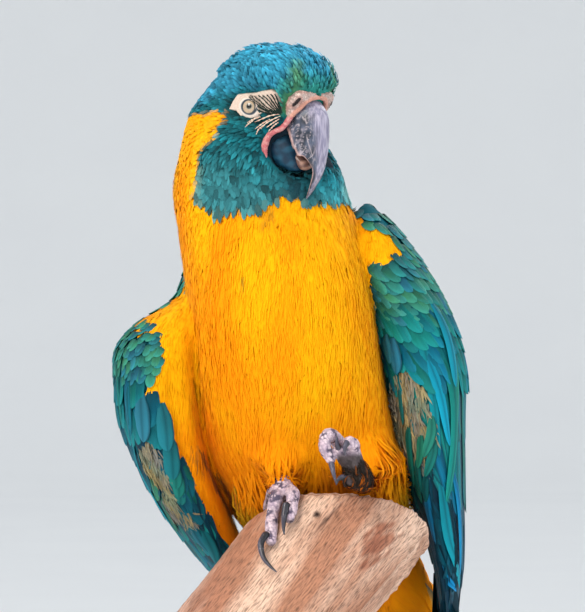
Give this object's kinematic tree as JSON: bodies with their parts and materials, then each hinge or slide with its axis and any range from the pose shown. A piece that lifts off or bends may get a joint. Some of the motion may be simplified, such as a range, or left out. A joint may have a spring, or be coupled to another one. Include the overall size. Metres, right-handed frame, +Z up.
{
  "type": "blue-throated macaw model on a perch",
  "caption": "Life-size still model of a blue-throated macaw perched on a short branch, one foot raised, head turned to its left, held on a round stand",
  "frame": {"origin": "centre of the underside of the stand base, on the surface it stands on", "axes": "+Z up; the breast faces -Y; the left wing is on +X"},
  "size_m": [0.3475, 0.3805, 0.6777],
  "materials": {
    "plumage_head": "soft dense small feathers, turquoise blue crown",
    "plumage_neck": "soft feathers, teal blue bib with orange-yellow neck sides",
    "plumage_breast": "soft loose feathers, orange-yellow",
    "wing_coverts": "overlapping scale-like feathers, green to blue",
    "flight_feathers": "long stiff feathers, turquoise blue with dark inner edges",
    "tail_coverts": "soft feathers, yellow with blue edges",
    "tail_feathers": "long stiff feathers, blue above and orange-yellow below",
    "eye": "wet cornea over a pale cream iris",
    "bill_upper": "dark slate horn with a paler worn ridge",
    "bill_lower": "black horn, smooth",
    "tongue": "soft damp skin",
    "cere": "bare pink skin with fine folds",
    "foot_skin": "small flat scales, pale lilac with dark grey",
    "claw": "slate horn, smooth",
    "branch_wood": "bare weathered wood with open grain",
    "stand_wood": "satin lacquered dark wood",
    "stand_metal": "brushed"
  },
  "bodies": {
    "root": {"head": "plumage_head", "neck": "plumage_neck", "trunk": "plumage_breast", "flank_right": "plumage_breast", "thigh_right": "plumage_breast", "thigh_left": "plumage_breast", "wing_right_coverts": "wing_coverts", "wing_left_coverts": "wing_coverts", "wing_right_flight": "flight_feathers", "wing_left_flight": "flight_feathers", "primary_right_1": "flight_feathers", "primary_right_2": "flight_feathers", "primary_right_3": "flight_feathers", "primary_right_4": "flight_feathers", "primary_right_5": "flight_feathers", "primary_left_1": "flight_feathers", "primary_left_2": "flight_feathers", "primary_left_3": "flight_feathers", "primary_left_4": "flight_feathers", "primary_left_5": "flight_feathers", "tail_coverts": "tail_coverts", "tail_feather_right_1": "tail_feathers", "tail_feather_right_2": "tail_feathers", "tail_feather_right_3": "tail_feathers", "tail_feather_right_4": "tail_feathers", "tail_feather_right_5": "tail_feathers", "tail_feather_right_6": "tail_feathers", "tail_feather_left_1": "tail_feathers", "tail_feather_left_2": "tail_feathers", "tail_feather_left_3": "tail_feathers", "tail_feather_left_4": "tail_feathers", "tail_feather_left_5": "tail_feathers", "tail_feather_left_6": "tail_feathers", "eye_right": "eye", "eye_left": "eye", "bill_upper": "bill_upper", "bill_lower": "bill_lower", "tongue": "tongue", "cere": "cere", "shank_right": "foot_skin", "shank_left": "foot_skin", "foot_right": "foot_skin", "foot_left": "foot_skin", "claw_right_1": "claw", "claw_right_2": "claw", "claw_right_3": "claw", "claw_right_4": "claw", "claw_left_1": "claw", "claw_left_2": "claw", "claw_left_3": "claw", "claw_left_4": "claw", "perch_log": "branch_wood", "stand_base": "stand_wood", "stand_rod": "stand_metal"}
  },
  "joints": []
}
